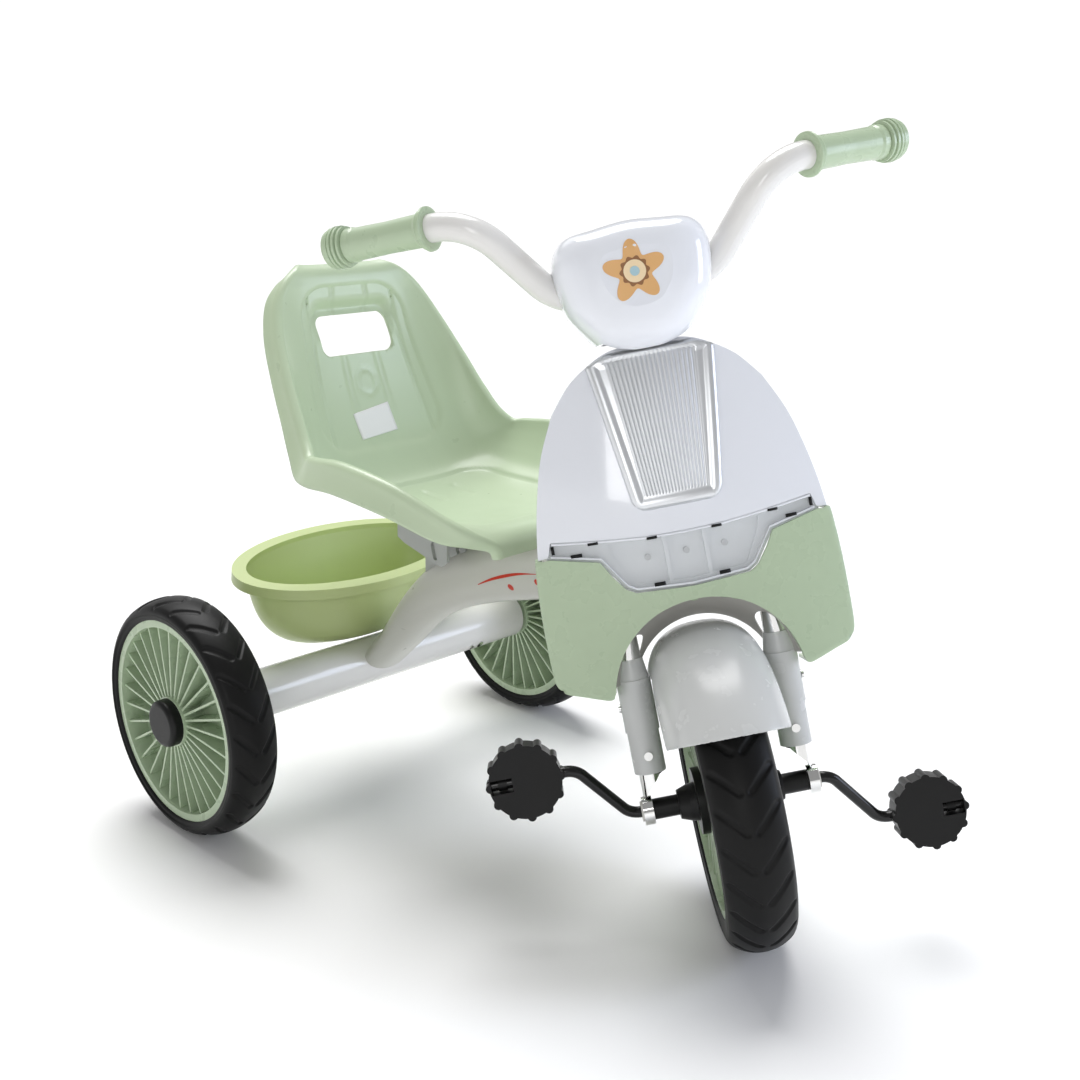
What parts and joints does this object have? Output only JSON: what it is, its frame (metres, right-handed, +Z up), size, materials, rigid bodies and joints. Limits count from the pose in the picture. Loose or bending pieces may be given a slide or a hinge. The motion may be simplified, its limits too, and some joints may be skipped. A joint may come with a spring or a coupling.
{
  "type": "children's tricycle",
  "caption": "Pedal tricycle for a small child, with steered front wheel and fairing, bucket seat, rear basket and plastic wheels.",
  "frame": {"origin": "centre of the bounding box on the floor, the height the wheels stand at", "axes": "+Z up, -Y the way the tricycle faces, +X the rider's left; stored with the handlebar turned to the rider's right"},
  "size_m": [0.4876, 0.6893, 0.6338],
  "materials": {
    "beam_white": "gloss",
    "tube_white": "gloss paint",
    "fairing_white": "high gloss",
    "guard_white": "gloss",
    "sage_green": "satin",
    "seat_green": "satin",
    "basket_green": "satin",
    "tyre_black": "satin black",
    "trim_black": "satin black",
    "crank_black": "black paint",
    "steel": "zinc plated",
    "chrome": "polished",
    "bracket_grey": "grey paint",
    "silver_panel": "silver",
    "lens_clear": "clear",
    "lamp_white": "gloss",
    "led_clear": "clear",
    "board_green": "matt",
    "liner_grey": "matt",
    "bush_white": "matt",
    "emblem": "printed"
  },
  "bodies": {
    "frame": {"main_beam": "beam_white", "head_tube": "tube_white", "head_bush_lower": "bush_white", "head_bush_upper": "bush_white", "rear_axle_tube": "tube_white", "axle_tube_plugs": "bush_white", "axle_tube_screw": "chrome", "rear_axle": "steel", "axle_washers": "steel", "axle_nuts": "steel", "seat": "seat_green", "seat_bracket": "bracket_grey", "seat_bolts": "steel", "beam_bolt": "trim_black", "basket": "basket_green", "basket_screws": "steel"},
    "steering": {"steerer": "steel", "fork_crown": "tube_white", "fork_leg_left": "chrome", "fork_leg_right": "chrome", "fork_bushes": "bush_white", "fork_sleeves_lower": "guard_white", "fork_sleeves_upper": "guard_white", "fork_screws": "chrome", "front_mudguard": "guard_white", "fairing_upper": "fairing_white", "fairing_lower": "sage_green", "arch_liner": "liner_grey", "lamp_lens": "lens_clear", "lamp_housing": "lamp_white", "lamp_leds": "led_clear", "led_board": "board_green", "grille_panel": "silver_panel", "fairing_bracket": "bracket_grey", "battery_box": "lamp_white", "battery_door": "lamp_white", "handlebar": "tube_white", "handlebar_clamp": "bush_white", "clamp_bolts": "steel", "grip_left": "sage_green", "grip_right": "sage_green", "bar_cover_front": "fairing_white", "bar_cover_rear": "fairing_white", "emblem_disc": "emblem"},
    "front_wheel": {"front_tyre": "tyre_black", "front_rim": "sage_green", "axle_drivers": "trim_black", "crank_axle": "crank_black", "pedal_retainers": "trim_black"},
    "left_pedal": {"pedal_left": "trim_black"},
    "right_pedal": {"pedal_right": "trim_black"},
    "rear_wheel_left": {"rear_tyre_left": "tyre_black", "rear_rim_left": "sage_green", "rear_bushes_left": "bush_white", "hub_cap_left": "trim_black"},
    "rear_wheel_right": {"rear_tyre_right": "tyre_black", "rear_rim_right": "sage_green", "rear_bushes_right": "bush_white", "hub_cap_right": "trim_black"},
    "switch_button": {"light_switch": "trim_black"}
  },
  "joints": [
    {"name": "steering_turn", "type": "hinge", "parent": "frame", "child": "steering", "pos_m": [0, -0.2116, 0.11975], "axis": [0, 0.286, 0.9582], "range_deg": [-6.4, 93.5]},
    {"name": "front_wheel_spin", "type": "hinge", "parent": "steering", "child": "front_wheel", "pos_m": [0, -0.2116, 0.11975], "axis": [0.7247, -0.6603, 0.1971], "continuous": true},
    {"name": "left_pedal_spin", "type": "hinge", "parent": "front_wheel", "child": "left_pedal", "pos_m": [0.1249, -0.31553, 0.10131], "axis": [0.7247, -0.6603, 0.1971], "continuous": true},
    {"name": "right_pedal_spin", "type": "hinge", "parent": "front_wheel", "child": "right_pedal", "pos_m": [-0.1249, -0.10767, 0.13819], "axis": [0.7247, -0.6603, 0.1971], "continuous": true},
    {"name": "rear_left_spin", "type": "hinge", "parent": "frame", "child": "rear_wheel_left", "pos_m": [0.2118, 0.2346, 0.11], "axis": [1, 0, 0], "continuous": true},
    {"name": "rear_right_spin", "type": "hinge", "parent": "frame", "child": "rear_wheel_right", "pos_m": [-0.2118, 0.2346, 0.11], "axis": [1, 0, 0], "continuous": true},
    {"name": "light_switch_push", "type": "slide", "parent": "steering", "child": "switch_button", "axis": [-0.6891, -0.6944, 0.2073], "range_m": [0, 0.0015], "stiffness_N_per_m": 300}
  ]
}
